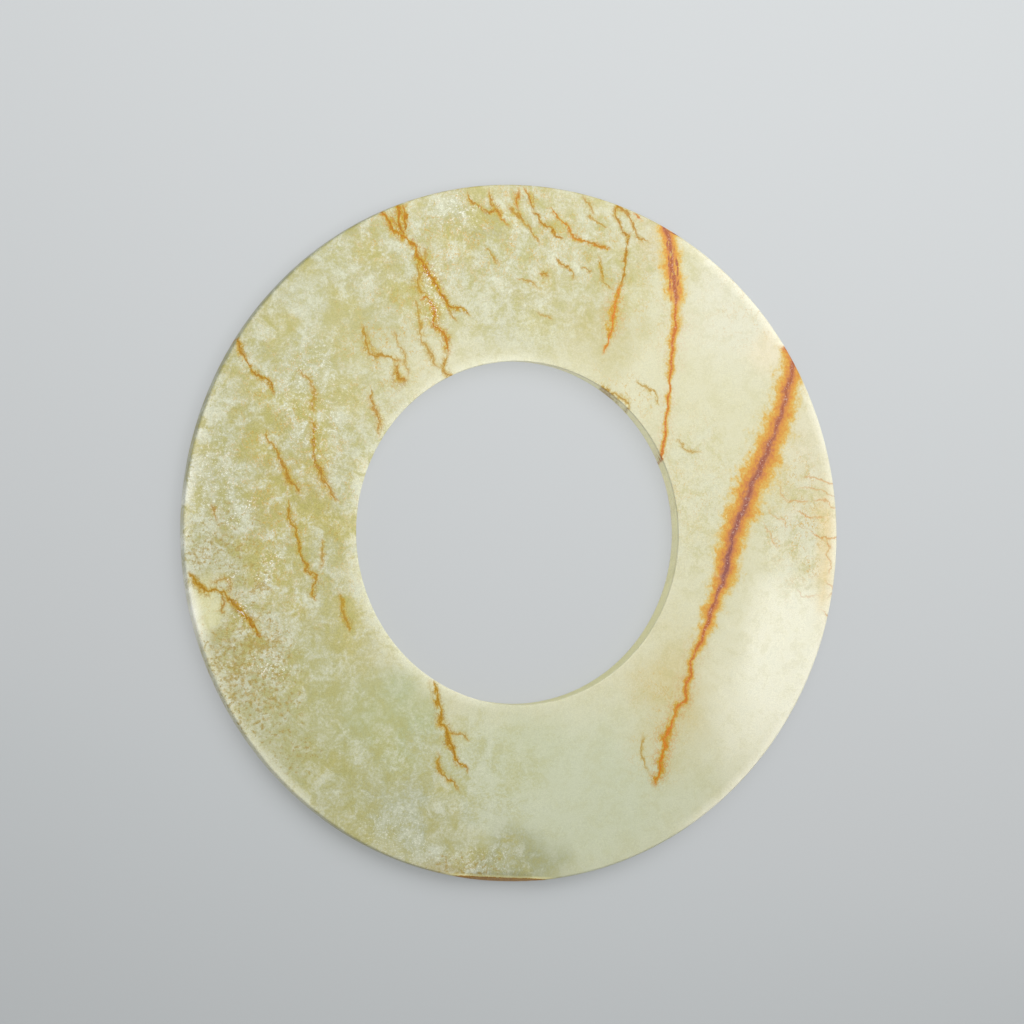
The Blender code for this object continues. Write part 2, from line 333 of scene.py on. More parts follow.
OCHRE_CRACKS = (
    # The thin orange streak left of the short russet crack, its side twig and its start at the rim
    (0.4, 0.45, 0.9, (
        (627.7, 236, 0.8), (625.4, 248, 0.9), (625, 260, 1), (623.8, 268, 0.9), (624, 276, 1),
        (621.5, 285, 1.2))),
    (0.6, 0.64, 1.0, (
        (621.5, 285, 1.4), (618, 291, 2.4), (615.5, 303, 3.6), (613.3, 317, 4.2), (611, 330, 3.6),
        (608, 340, 2), (604.5, 352, 0.9))),
    (0.25, 0.25, 0.5, ((600.5, 259, 0.7), (601.5, 272, 0.9), (606, 282, 0.9), (611, 290, 0.7))),
    (0.45, 0.4, 0.8, (
        (615.5, 205, 1.4), (614, 213, 1.3), (619, 222, 0.9), (622, 231, 0.9), (627.7, 236, 0.9))),
    (0.45, 0.4, 0.7, (
        (616, 206, 1.2), (622, 209, 1.4), (627, 213, 0.9), (630.7, 220, 0.8), (633.8, 230.7, 1),
        (639, 238, 1), (646, 241.4, 0.7))),
    (0.7, 0.7, 0.8, ((634.5, 214.6, 1.2), (638.4, 216.5, 1))),
    # The double crack at the upper left, from the rim down to the bore
    (0.5, 0.45, 1.0, (
        (381, 212, 1.8), (386.8, 217.5, 2), (389.6, 221.7, 2), (391, 227.3, 1.8), (394.6, 232.2, 1.8),
        (400.2, 235.7, 2), (405, 236.4, 2), (409.3, 240.6, 2), (412.1, 243.4, 2.2), (415.6, 249.7, 1.8),
        (417.7, 258.2, 2), (420.5, 262.4, 2.2), (426.1, 265.9, 2.6), (427.5, 270, 2.4), (431, 275.7, 2.4),
        (435.3, 283.4, 2.4), (440.2, 289.7, 2), (444.4, 298.9, 1.6), (450.5, 307.2, 1.4), (460, 309.1, 1.2),
        (468, 312, 0.9))),
    (0.5, 0.45, 1.0, (
        (397.5, 205.5, 1.8), (398.5, 211.8, 1.8), (398, 223, 1.6), (400.9, 230, 1.6), (402, 236, 1.6))),
    (0.5, 0.45, 1.0, ((402.5, 206, 1.6), (403.7, 214, 1.6), (405.8, 222, 1.4), (402, 229, 1.2))),
    (0.35, 0.3, 0.7, ((448.6, 309.1, 1), (450, 313, 1), (454.3, 317.8, 0.8))),
    (0.25, 0.25, 0.7, (
        (417.7, 257, 1.2), (418.5, 265.2, 1.4), (419, 272.2, 1.6), (417.5, 279.2, 2.4), (418.5, 285.5, 3.4),
        (420.5, 289.7, 2), (422.5, 293, 1.4))),
    (0.25, 0.25, 0.6, ((423.3, 247, 0.9), (424.4, 252, 1.2), (425.4, 258.2, 0.9))),
    (0.5, 0.5, 0.95, (
        (422, 298, 1.4), (428.2, 299, 1.6), (431.8, 302.5, 2), (434.2, 307, 2.6), (433.3, 314, 3.2),
        (433, 321, 2.8), (437.1, 327.3, 2), (442.8, 332.1, 2), (447, 335, 2), (447.5, 341.7, 2.2),
        (446, 347.4, 1.8), (447, 352, 1.4))),
    (0.35, 0.4, 0.75, (
        (445, 356, 1.2), (443.8, 364.6, 1.4), (442.5, 371, 1.4), (446.7, 375.5, 2.2), (452, 376, 1.6))),
    (0.25, 0.3, 0.65, (
        (417, 304.6, 0.9), (419.5, 312, 1.2), (420.8, 326, 1.3), (421, 339.8, 1.6), (424.6, 346.5, 1.6),
        (428.5, 349.4, 1.6), (432.3, 357, 1.8), (433.3, 362, 1.8), (438, 366, 1.2))),
    # The twigs between that crack and the bore
    (0.3, 0.35, 0.75, (
        (363, 328, 1.4), (366, 340, 1.8), (368, 350, 1.8), (374, 357, 1.8), (383, 354, 1.2),
        (391, 357, 1.4), (397, 361, 1.6))),
    (0.4, 0.4, 0.85, ((396, 366, 1.6), (397, 373, 1.8), (399, 380, 3.6), (406, 380, 1.6))),
    (0.25, 0.25, 0.5, ((394, 334, 1.2), (400, 345, 1.4), (404, 355, 1.2), (408, 373, 1))),
    (0.35, 0.4, 0.7, ((370, 393, 1), (374, 408, 1.6), (380, 421, 2), (378, 433, 1.4))),
    # The long broken cracks down the left side
    (0.4, 0.35, 0.9, (
        (236, 338, 2.4), (241, 353, 1.8), (248, 364, 1.4), (255, 373, 1.4), (268, 381, 1.2),
        (273, 391, 1))),
    (0.35, 0.4, 0.8, (
        (265, 434, 0.9), (275, 449, 1.3), (282, 462, 1.4), (287, 475, 1.8), (293, 485, 2),
        (299, 492, 1.2))),
    (0.3, 0.3, 0.6, ((302, 372, 1), (311, 380, 1.4), (313, 393, 2), (313, 410, 1.8))),
    (0.35, 0.4, 0.8, (
        (313, 422, 1.4), (314, 445, 1.4), (314, 458, 1.2), (322, 476, 2), (329, 490, 2), (335, 498, 1.2))),
    (0.3, 0.35, 0.85, (
        (288, 501, 0.9), (289, 512, 1), (290, 521, 1.2), (295, 528, 1.4), (297, 535, 1.2), (299, 546, 1),
        (300, 556, 1.2), (306, 563, 1.2), (307, 572, 1.2), (314, 573, 1.6), (315, 582, 1.4),
        (312, 592, 1.8), (315, 598, 1))),
    (0.2, 0.3, 0.6, ((322, 541, 1), (323, 558, 1.8), (320, 568, 1))),
    (0.2, 0.35, 0.7, ((341, 596, 0.8), (343, 609, 1.6), (346, 621, 2), (350, 629, 1))),
    (0.35, 0.3, 0.6, ((213, 505, 1.6), (215, 518, 1.2))),
    # The branched crack at the left rim
    (0.3, 0.42, 0.95, (
        (188, 574, 1.6), (192, 577, 2), (198, 584, 2.2), (205, 591, 2.4), (216, 589, 1.8), (228, 597, 1.8),
        (236, 606, 2), (243, 613, 1.8), (249, 620, 1.5), (254, 628, 1.1), (259, 635, 0.8))),
    (0.4, 0.4, 0.7, ((220, 591, 1), (222, 602, 1), (223, 612, 1.2))),
    (0.2, 0.3, 0.6, ((213, 581, 1.6), (222, 579, 2.4), (229, 581, 2), (230, 590, 1.4))),
    # The forked crack below the bore
    (0.3, 0.4, 0.95, (
        (434, 683, 1.8), (436, 695, 1.8), (440, 708, 1.8), (440, 719, 2), (446, 730, 2.4), (448, 740, 2),
        (454, 752, 1.8), (458, 762, 1.2), (467, 768, 0.8))),
    (0.35, 0.3, 0.6, ((449, 734, 1.2), (462, 734, 1), (469, 740, 0.8))),
    (0.25, 0.35, 0.8, ((438, 754, 0.9), (439, 769, 1.8), (446, 777, 1.6), (453, 782, 1), (457, 789, 0.8))),
    # The net of fine cracks at the top
    (0.4, 0.5, 0.8, (
        (466, 192, 1), (468, 200, 1), (475, 204, 1.2), (482, 210, 1.2), (489, 211, 0.8), (495, 209, 2),
        (500, 214, 1.8), (506, 224, 1))),
    (0.45, 0.45, 0.8, ((488, 189, 1.2), (491, 201, 1.2), (495, 209, 2))),
    (0.35, 0.35, 0.7, ((508, 206, 0.9), (516, 213, 1.3), (524, 221, 1.1), (531, 230, 1), (537, 240, 0.8))),
    (0.5, 0.5, 0.8, ((517, 189, 1.2), (517, 201, 2), (519, 208, 0.9))),
    (0.5, 0.45, 0.8, ((522, 188, 1.6), (529, 197, 1.6), (532, 206, 1))),
    (0.45, 0.45, 0.85, (
        (534, 213, 0.9), (542, 222, 1.2), (550, 228, 1.2), (554, 234, 1.2), (561, 237, 0.8))),
    (0.55, 0.5, 0.9, (
        (550, 209, 0.8), (562, 221, 1.1), (569, 230, 1.2), (575, 238, 1.2), (585, 241, 1), (593, 243, 1.2),
        (600, 247, 1.2), (608, 247, 0.8))),
    (0.4, 0.4, 0.8, ((558, 259, 0.8), (563, 266, 1.2), (571, 269, 1.2), (573, 277, 1))),
    (0.4, 0.4, 0.7, ((541, 273, 1.6), (547, 275, 1.6))),
    (0.3, 0.3, 0.6, ((519, 279, 0.7), (531, 282, 0.9), (537, 286, 0.8))),
    (0.35, 0.35, 0.6, ((582, 268, 0.8), (590, 270, 0.8))),
    (0.4, 0.35, 0.6, ((583, 197, 1), (590, 206, 1.2), (592, 213, 0.8))),
    (0.35, 0.35, 0.6, ((588, 216, 0.7), (598, 222, 1), (605, 226, 0.8))),
    (0.25, 0.25, 0.6, ((487, 249, 0.7), (492, 256, 1), (498, 262, 0.8))),
    (0.3, 0.3, 0.6, ((600, 260, 0.7), (601, 269, 0.9), (602, 279, 0.8))),
    (0.3, 0.3, 0.5, ((541, 314, 0.7), (551, 318, 0.9))),
    # Stained nicks on the bore's edge and beside the short russet crack
    (0.3, 0.3, 0.7, ((603, 387, 1.4), (612, 394, 1.4), (625, 399, 1.4), (628, 408, 1))),
    (0.25, 0.25, 0.6, ((638, 383, 0.7), (648, 388, 0.9), (654, 393, 0.9), (659, 403, 0.8))),
    (0.25, 0.25, 0.5, ((678, 441, 0.7), (688, 450, 0.9), (696, 453, 0.9))),
    (0.2, 0.2, 0.6, ((643, 738, 0.8), (642, 755, 0.9), (647, 770, 0.8))),
    # Orange threads at the right rim
    (0.6, 0.6, 0.42, ((811, 532, 0.5), (819, 537, 0.9), (826, 538, 1), (838, 536, 0.9))),
    (0.6, 0.6, 0.39, ((825, 540, 0.9), (829, 547, 0.9), (827, 554, 0.8), (830, 562, 0.7), (829, 570, 0.5))),
    (0.6, 0.6, 0.32, ((806, 477, 0.5), (814, 477, 0.6), (823, 480, 0.6), (835, 484, 0.5))),
    (0.6, 0.6, 0.28, ((802, 487, 0.5), (812, 487, 0.6), (822, 491, 0.6), (834, 497, 0.5))),
    (0.6, 0.6, 0.32, ((814, 499, 0.5), (822, 498, 0.6), (829, 503, 0.7), (837, 511, 0.5))),
    (0.6, 0.6, 0.32, ((786, 500, 0.5), (792, 502, 0.7), (799, 499, 0.6), (806, 501, 0.5))),
    (0.6, 0.6, 0.24, ((779, 487, 0.5), (782, 495, 0.6), (788, 499, 0.5))),
    (0.6, 0.6, 0.32, ((798, 511, 0.5), (805, 515, 0.7), (811, 518, 0.6), (819, 517, 0.5))),
    (0.6, 0.6, 0.24, ((770, 511, 0.5), (775, 517, 0.6), (783, 520, 0.6), (786, 526, 0.5))),
    (0.6, 0.6, 0.24, ((764, 524, 0.5), (768, 531, 0.6), (771, 539, 0.6), (776, 545, 0.5))),
    (0.6, 0.6, 0.35, ((824, 612, 0.8), (830, 616, 1.2), (833, 618, 1))),
    (0.6, 0.6, 0.24, ((826, 581, 0.5), (832, 586, 0.7), (829, 594, 0.6))),
    (0.6, 0.6, 0.21, ((799, 592, 0.5), (805, 597, 0.6), (815, 594, 0.5))),
)
# A crack's route, in metres: its steps, the lengths of the waves that it sways in, and its least width
ROUTE_STEP = 0.0002
SWAY_LENGTHS = (0.0045, 0.0024, 0.0013)
SWAY_SEED = 7
LEAST_HALF_WIDTH = 0.00008
# Its stain reaches some half-widths and a spare to each side, and fades past the crack's end
REACH_HALF_WIDTHS = 1.8
REACH_SPARE = 0.0015
LEAST_REACH = 0.0035
FADE = 0.0006
# How far cracks and zones move aside for each metre down through the stone
CRACK_SLANT = (0.25, -0.15)
# The field where there is no crack: far to its side, with a narrow stain, both in mm
NO_CRACK = (99.0, 0.1)
PLACES_AT_A_TIME = 4000


def directions(route):
    """The unit tangents along a route."""
    tangent = np.gradient(route[:, :2], axis=0)
    return tangent / np.hypot(*tangent.T)[:, None]


def smooth_route(points, wobble):
    """Places and half-widths along a smooth curve through the points, with a small natural wobble."""
    spots = [stone_point(x, y) for x, y, _ in points]
    values = np.array([(spot.x, spot.y, width * PIXEL / 1000) for spot, (_, _, width) in zip(spots, points)])
    padded = np.vstack([2 * values[0] - values[1], values, 2 * values[-1] - values[-2]])
    route = []
    for k in range(1, len(padded) - 2):
        a, b, c, d = padded[k - 1:k + 3]
        count = max(2, int(math.dist(b[:2], c[:2]) / ROUTE_STEP))
        t = (np.arange(count) / count)[:, None]
        route.append(0.5 * (2 * b + (c - a) * t + (2 * a - 5 * b + 4 * c - d) * t ** 2
                            + (3 * b - a - 3 * c + d) * t ** 3))
    route = np.vstack(route + [values[-1:]])
    along = np.r_[0, np.cumsum(np.hypot(*np.diff(route[:, :2], axis=0).T))]
    tangent = directions(route)
    sway = sum(np.sin(along / length * 2 * math.pi + wobble.uniform(0, 6.28))
               * length * wobble.uniform(0.02, 0.05) for length in SWAY_LENGTHS)
    route[:, :2] += np.stack([-tangent[:, 1], tangent[:, 0]], 1) * sway[:, None]
    route[:, 2] = np.maximum(route[:, 2], LEAST_HALF_WIDTH)
    return route, directions(route), along


def nearest(places, route):
    """For each place, the index of the route's nearest point and how far it is."""
    index = np.empty(len(places), int)
    gap = np.empty(len(places))
    for start in range(0, len(places), PLACES_AT_A_TIME):
        block = slice(start, start + PLACES_AT_A_TIME)
        squares = ((places[block, None, :] - route[None, :, :2]) ** 2).sum(2)
        index[block] = squares.argmin(1)
        gap[block] = np.sqrt(squares.min(1))
    return index, gap


def point_places(mesh):
    """The place of each of a mesh's points, in metres."""
    places = np.empty(len(mesh.vertices) * 3)
    mesh.vertices.foreach_get("co", places)
    return places.reshape(-1, 3)


def write_field(mesh, name, kind, domain, key, values):
    """Keeps a field of numbers on a mesh, for its material."""
    mesh.attributes.new(name, kind, domain).data.foreach_set(key, values.astype(np.float32).ravel())


def stain_fields(mesh):
    """Writes, for each corner of each face, how it lies to the two cracks that matter most to that face:
    how far to the side of the crack it is, the stain's half-width and its heat, and the stain's strength."""
    wobble = np.random.default_rng(SWAY_SEED)
    places = point_places(mesh)
    corner_vertex = np.empty(len(mesh.loops), int)
    mesh.loops.foreach_get("vertex_index", corner_vertex)
    # A crack leans on its way down through the stone, so the lower face shows it a little aside.
    depth = (THICKNESS - places[:, 2])[:, None]
    flat = places[:, :2] - depth * np.array(CRACK_SLANT)
    corner_flat = flat[corner_vertex].reshape(-1, 4, 2)
    middle = corner_flat.mean(1)

    best = np.full((2, len(middle)), np.inf)
    field = np.zeros((2, len(middle), 4, 3))
    field[:, :, :, :2] = NO_CRACK
    force = np.zeros((2, len(middle), 4))
    for start_heat, end_heat, strength, points in RUSSET_CRACKS + OCHRE_CRACKS:
        route, tangent, along = smooth_route(points, wobble)
        reach = max(LEAST_REACH, REACH_HALF_WIDTHS * route[:, 2].max() + REACH_SPARE)
        lowest = route[:, :2].min(0) - reach
        highest = route[:, :2].max(0) + reach
        faces = np.where(((middle > lowest) & (middle < highest)).all(1))[0]
        index, gap = nearest(middle[faces], route)
        kept = gap < reach
        faces, index, gap = faces[kept], index[kept], gap[kept]
        rank = gap / (route[index, 2] + 0.0001)
        corners = corner_flat[faces].reshape(-1, 2)
        at, distance = nearest(corners, route)
        offset = corners - route[at, :2]
        aside = tangent[at, 0] * offset[:, 1] - tangent[at, 1] * offset[:, 0]
        ends = (at == 0) | (at == len(route) - 1)
        aside = np.where(ends, aside, np.copysign(distance, aside))
        past = np.where(ends, np.abs((tangent[at] * offset).sum(1)), 0.0)
        heat = start_heat + (end_heat - start_heat) * (along[at] / along[-1])
        value = np.stack([aside * 1000, route[at, 2] * 1000, heat], 1).reshape(-1, 4, 3)
        power = (strength * np.clip(1 - past / FADE, 0, 1)).reshape(-1, 4)
        first = rank < best[0, faces]
        second = ~first & (rank < best[1, faces])
        ahead = faces[first]
        best[1, ahead], field[1, ahead], force[1, ahead] = best[0, ahead], field[0, ahead], force[0, ahead]
        best[0, ahead], field[0, ahead], force[0, ahead] = rank[first], value[first], power[first]
        behind = faces[second]
        best[1, behind], field[1, behind], force[1, behind] = rank[second], value[second], power[second]
    for k, name in enumerate(("crack", "second_crack")):
        write_field(mesh, name, "FLOAT_VECTOR", "CORNER", "vector", field[k])
        write_field(mesh, name + "_strength", "FLOAT", "CORNER", "value", force[k])


# The stone's colour.
# Pale celadon nephrite, clear and creamy on the right, clouded with white wisps and olive windows on the
# left where it weathered in the ground, and polished all over. Its colour also holds painted light, on the
# right, along the edges and on the bore's wall, and painted shade on part of the rim and low on the bore's
# wall.
def linear(value):
    """One channel of a colour as a picture shows it, out of 255, as an amount of light."""
    share = value / 255
    return share / 12.92 if share < 0.04045 else ((share + 0.055) / 1.055) ** 2.4


def tone(red, green, blue):
    """A colour as a picture shows it, out of 255, for a socket."""
    return (linear(red), linear(green), linear(blue), 1.0)


CREAM = (199, 196, 165)
# Zones are soft ovals: middle and half-size in the photograph's pixels, turn in degrees, strength, tone
ZONES = (
    # The clear stone on the right, whitest at the upper right and the lower right: its own pale colour with
    # painted light from the right laid in, most at the lower right
    ((745, 290), (115, 120), 0, 1.0, (204, 202, 180)),
    ((772, 345), (40, 45), 0, 0.6, (216, 204, 175)),
    ((800, 480), (50, 130), 0, 0.8, (206, 200, 174)),
    ((785, 655), (90, 170), -22, 1.0, (226, 224, 203)),
    ((828, 555), (28, 95), 0, 0.7, (220, 198, 148)),
    # The warm tint about the lower end of the long russet crack
    ((668, 715), (60, 120), -12, 0.9, (193, 182, 134)),
    # The greenish stone at the bottom, and the dark patch at its rim
    ((560, 800), (250, 140), 0, 1.0, (188, 192, 164)),
    ((500, 755), (90, 60), 0, 0.6, (181, 185, 150)),
    ((468, 868), (75, 26), 8, 0.9, (165, 149, 100)),
    ((513, 862), (80, 42), 0, 0.85, (152, 155, 120)),
    # The weathered stone on the left
    ((255, 540), (210, 370), 8, 1.0, (175, 171, 127)),
    ((205, 430), (60, 120), -14, 0.5, (188, 185, 146)),
    ((298, 478), (70, 80), -10, 0.8, (172, 160, 100)),
    ((290, 610), (60, 60), 0, 0.6, (178, 170, 116)),
    ((350, 600), (30, 60), 0, 0.5, (190, 183, 135)),
    ((340, 745), (190, 120), -38, 1.0, (171, 170, 121)),
    ((402, 722), (75, 70), 0, 0.9, (168, 174, 132)),
    ((425, 822), (90, 50), -26, 0.9, (170, 174, 149)),
    ((203, 606), (26, 44), -20, 1.0, (210, 208, 165)),
    # The weathered stone at the top
    ((365, 262), (55, 80), 30, 1.0, (150, 147, 108)),
    ((330, 300), (150, 130), 40, 1.0, (177, 175, 138)),
    ((300, 305), (50, 50), 0, 0.6, (185, 185, 157)),
    ((500, 250), (250, 120), 0, 1.0, (180, 175, 138)),
    ((520, 330), (80, 40), 0, 0.7, (187, 187, 161)),
    ((480, 222), (60, 30), 0, 0.7, (166, 163, 130)),
    ((600, 310), (70, 90), 0, 0.8, (180, 173, 129)),
    ((655, 245), (30, 40), 0, 0.7, (190, 175, 134)),
)
# Bands of painted highlight and painted shade along an edge: its radius, the angles where it starts and
# ends, its width in mm, strength, tone
EDGE_HIGHLIGHTS_AND_SHADE = (
    # Painted highlights along the bore's left edge, and painted light through the thin stone beside it
    (BORE_RADIUS, 80, 262, 1.3, 0.8, (216, 215, 190)),
    (BORE_RADIUS, 140, 246, 3.2, 0.8, (218, 217, 190)),
    # Painted highlights along the rim's left arris, whitest in a narrow line, then a painted shade line on
    # the rim's wall
    (OUTER_RADIUS, 150, 236, 1.9, 0.7, (232, 231, 208)),
    (OUTER_RADIUS, 158, 200, 0.8, 0.9, (250, 251, 244)),
    (OUTER_RADIUS, 110, 176, 0.5, 0.8, (138, 140, 106)),
    # A painted highlight along the rim's right arris
    (OUTER_RADIUS, -62, 62, 1.2, 0.7, (236, 233, 214)),
)
# The bore's wall is painted lighter and more yellow, as painted light for light passing through the stone,
# and darker towards the bottom of the picture, as painted shade. In mm, its tint starts and is full so far
# below the face, and reaches so far from the bore.
PAINTED_WALL_GLOW = (254, 248, 196)
PAINTED_WALL_SHADE = (206, 202, 140)
WALL_START = 0.25
WALL_FULL = 0.45
WALL_REACH = 0.7
# The skin facet is amber under a pale edge
SKIN = (192, 140, 0)
SKIN_DARK = (150, 98, 0)
SKIN_EDGE = (226, 218, 158)

# The clouded stone drifts between a warm and a cool tone
WARM = (178, 169, 98)
COOL = (184, 185, 156)

# Soft ovals again, without a tone: where the stone is clouded, where it has rotted to small brown spots,
# where white crystals sparkle, where threads of gold run through it, and where it is clear at the left rim
CLOUDED = (
    ((250, 500), (250, 380), 0, 1.0), ((450, 245), (340, 140), 0, 0.9), ((390, 790), (190, 120), 0, 0.7),
    ((795, 520), (60, 110), 0, 0.5), ((700, 500), (60, 120), 0, 0.35), ((470, 858), (110, 36), -6, 0.9),
)
SPOTS = (
    ((225, 560), (75, 85), 0, 0.45), ((250, 670), (75, 110), 20, 0.65), ((290, 745), (60, 40), -40, 0.4),
    ((465, 868), (75, 26), -6, 0.5), ((200, 555), (22, 22), 0, 0.85), ((213, 538), (14, 9), 0, 0.9),
    ((240, 548), (9, 7), 0, 0.9), ((249, 592), (10, 8), 0, 0.9), ((262, 585), (17, 12), 0, 1.0),
    ((261, 616), (12, 9), 0, 0.9), ((258, 646), (21, 15), 20, 1.0), ((273, 640), (14, 12), 0, 1.0),
    ((228, 642), (14, 11), 0, 0.9), ((206, 636), (16, 15), 0, 0.9), ((236, 664), (18, 14), 0, 1.0),
    ((233, 680), (15, 13), 0, 1.0), ((240, 702), (14, 11), 0, 0.9), ((262, 722), (12, 8), 0, 0.8),
)
SPARKLES = (
    ((250, 503), (16, 13), 0, 1.0), ((234, 520), (13, 12), 0, 1.0), ((271, 558), (13, 13), 0, 0.9),
    ((264, 573), (12, 12), 0, 0.8), ((229, 577), (13, 10), 0, 0.8), ((240, 610), (14, 12), 0, 1.0),
    ((270, 668), (34, 16), -20, 0.8), ((430, 272), (12, 12), 0, 1.0), ((434, 300), (16, 50), 0, 0.6),
    ((455, 212), (40, 26), 0, 0.5), ((400, 835), (70, 30), -26, 0.3), ((480, 858), (60, 20), -10, 0.35),
    ((315, 400), (50, 90), 0, 0.35), ((215, 480), (40, 60), 0, 0.4),
)
VEINED = (
    ((480, 230), (220, 90), 0, 1.0), ((610, 250), (90, 90), 0, 0.8), ((390, 340), (80, 110), 0, 0.9),
    ((290, 470), (120, 220), 8, 0.9), ((240, 660), (100, 110), 0, 0.6), ((800, 520), (50, 110), 0, 1.0),
    ((690, 480), (50, 110), 0, 0.5), ((662, 720), (50, 100), -12, 0.6), ((625, 390), (60, 30), -40, 0.8),
    ((745, 300), (90, 70), 35, 0.45), ((640, 300), (45, 90), 0, 0.5),
)
CLEAR_PATCH = ((202, 612), (32, 62), -20, 0.9)
# How far an outline wanders, in mm for each unit of drift, and the drift's own scale
WIDE_SWING = 3.5
PATCH_SWING = 1.2
SPOT_SWING = 0.4
BAND_SWING = 0.25
DRIFT_SCALE = 0.12
DRIFT_SEED = 3
# The share of an oval's half-size over which it fades, and the angle over which a band's end does
OVAL_FADE = 0.75
BAND_END_FADE = 0.12


def soft_patch(flat, middle, size, degrees, strength):
    """How far each place, in mm, lies inside a soft oval, from 0 at its edge to the oval's strength."""
    spot = stone_point(*middle) * 1000
    angle = math.radians(degrees)
    x = flat[:, 0] - spot.x
    y = flat[:, 1] - spot.y
    along = (x * math.cos(angle) + y * math.sin(angle)) / (size[0] * PIXEL)
    across = (y * math.cos(angle) - x * math.sin(angle)) / (size[1] * PIXEL)
    share = np.clip((1 - np.hypot(along, across)) / OVAL_FADE, 0, 1)
    return strength * share * share * (3 - 2 * share)


def edge_band(flat, radius, first, last, width, strength):
    """How far each place, in mm, lies inside a band along a round edge, from 0 to the band's strength."""
    near = np.clip(1.3 - np.abs(np.hypot(*flat.T) - radius * 1000) / width, 0, 1)
    middle = math.radians((first + last) / 2)
    half_turn = math.radians((last - first) / 2)
    angle = np.arctan2(flat[:, 1], flat[:, 0])
    aside = np.abs(np.angle(np.exp(1j * (angle - middle))))
    return strength * near * np.clip((half_turn - aside) / BAND_END_FADE, 0, 1)


def body_fields(mesh):
    """Writes each point's broad colour, with its painted light and shade, and how clouded, spotted,
    sparkling and veined it is there.
    """
    places = point_places(mesh) * 1000
    depth = THICKNESS * 1000 - places[:, 2]
    flat = places[:, :2] - depth[:, None] * np.array(CRACK_SLANT)
    seed_set(DRIFT_SEED)
    drift = [turbulence_vector(Vector((x, y, 0.0)) * DRIFT_SCALE, 4, False) for x, y in flat]
    drift = np.array(drift)[:, :2]

    colour = np.tile([linear(value) for value in CREAM], (len(flat), 1))

    def tint(share, over):
        """Lays a tone over the stone's colour, by each point's share."""
        colour[:] += share[:, None] * (np.array([linear(value) for value in over]) - colour)

    for *patch, over in ZONES:
        tint(soft_patch(flat + drift * WIDE_SWING, *patch), over)
    for *band, over in EDGE_HIGHLIGHTS_AND_SHADE:
        tint(edge_band(places[:, :2] + drift * BAND_SWING, *band), over)
    radius = np.hypot(*places[:, :2].T)
    wall = np.clip((depth - WALL_START) / (WALL_FULL - WALL_START), 0, 1)
    wall *= radius < BORE_RADIUS * 1000 + WALL_REACH
    # Painted light on the bore's wall, then painted shade on its lower part
    tint(wall, PAINTED_WALL_GLOW)
    tint(wall * np.clip(places[:, 1] / radius * -0.9 + 0.15, 0, 1), PAINTED_WALL_SHADE)

    clouded, spotted, sparkling, veined = (
        np.max([soft_patch(flat + drift * swing, *patch) for patch in patches], 0)
        for patches, swing in ((CLOUDED, WIDE_SWING), (SPOTS, SPOT_SWING), (SPARKLES, PATCH_SWING),
                               (VEINED, WIDE_SWING)))
    clear = soft_patch(flat + drift * PATCH_SWING, *CLEAR_PATCH)
    clouded *= 1 - clear
    spotted *= 1 - clear
    tint(np.clip(drift[:, 1] * 1.5, 0, 0.7) * clouded, WARM)
    tint(np.clip(drift[:, 1] * -1.5, 0, 0.7) * clouded, COOL)
    traits = np.column_stack([clouded, spotted, sparkling])
    # The broad colour holds painted light and shade as well as the stone's own colour
    write_field(mesh, "body", "FLOAT_COLOR", "POINT", "color", np.column_stack([colour, veined]))
    write_field(mesh, "traits", "FLOAT_VECTOR", "POINT", "vector", traits)


def mixed(tree, share, under, over):
    """One colour over another, by a share from 0 to 1."""
    made = add(tree, "ShaderNodeMix", data_type="RGBA", clamp_factor=True)
    for socket, value in zip((made.inputs["Factor"], made.inputs[6], made.inputs[7]), (share, under, over)):
        if isinstance(value, bpy.types.NodeSocket):
            tree.links.new(value, socket)
        else:
            socket.default_value = value
    return made.outputs[2]


def ramped(tree, value, start, end, low_value=0.0, high_value=1.0):
    """A smooth step of a value between start and end."""
    return add(tree, "ShaderNodeMapRange", {
        "Value": value, "From Min": start, "From Max": end, "To Min": low_value, "To Max": high_value},
        interpolation_type="SMOOTHSTEP").outputs[0]


def noise(tree, place, scale, detail=3.0, rough=0.5, distortion=0.0):
    """A noise over the stone, its scale in features for each millimetre."""
    return add(tree, "ShaderNodeTexNoise", {
        "Vector": place, "Scale": scale, "Detail": detail, "Roughness": rough,
        "Distortion": distortion}).outputs[0]


def about(tree, value, swing):
    """How far a noise lies above its middle, made larger or smaller."""
    return times(tree, maths(tree, "SUBTRACT", value, 0.5), swing)


def spectrum(tree, value, tones):
    """A colour and an opacity that change smoothly with a value, through the given tones."""
    made = add(tree, "ShaderNodeValToRGB", {0: value})
    stops = made.color_ramp.elements
    stops.remove(stops[1])
    for k, (position, colour, opacity) in enumerate(tones):
        stop = stops[0] if k == 0 else stops.new(position)
        stop.position = position
        stop.color = (*tone(*colour)[:3], opacity)
    return made.outputs


# Between these two heats an ochre crack turns into a russet one
HOT = (0.5, 0.8)
# Stains from the crack outwards: how far out, as a share of four half-widths, then tone and opacity
RUSSET_STAIN = ((0.0, (158, 102, 80), 1.0), (0.03, (168, 108, 76), 1.0), (0.055, (182, 116, 68), 1.0),
                (0.085, (194, 129, 62), 1.0), (0.13, (199, 146, 60), 1.0), (0.18, (199, 162, 76), 0.95),
                (0.225, (198, 174, 104), 0.65), (0.29, (196, 183, 132), 0.3), (0.38, (196, 187, 150), 0.0))
OCHRE_STAIN = ((0.0, (176, 132, 0), 1.0), (0.14, (179, 142, 4), 0.92), (0.26, (181, 152, 30), 0.68),
               (0.42, (181, 160, 66), 0.4), (0.62, (180, 166, 90), 0.2), (1.0, (180, 170, 108), 0.0))
# The crack itself, by its heat
LINE_TONES = ((0.2, (158, 124, 0), 1.0), (0.45, (156, 104, 0), 1.0), (0.6, (196, 116, 12), 1.0),
              (0.75, (176, 98, 34), 1.0), (1.0, (136, 80, 74), 1.0))


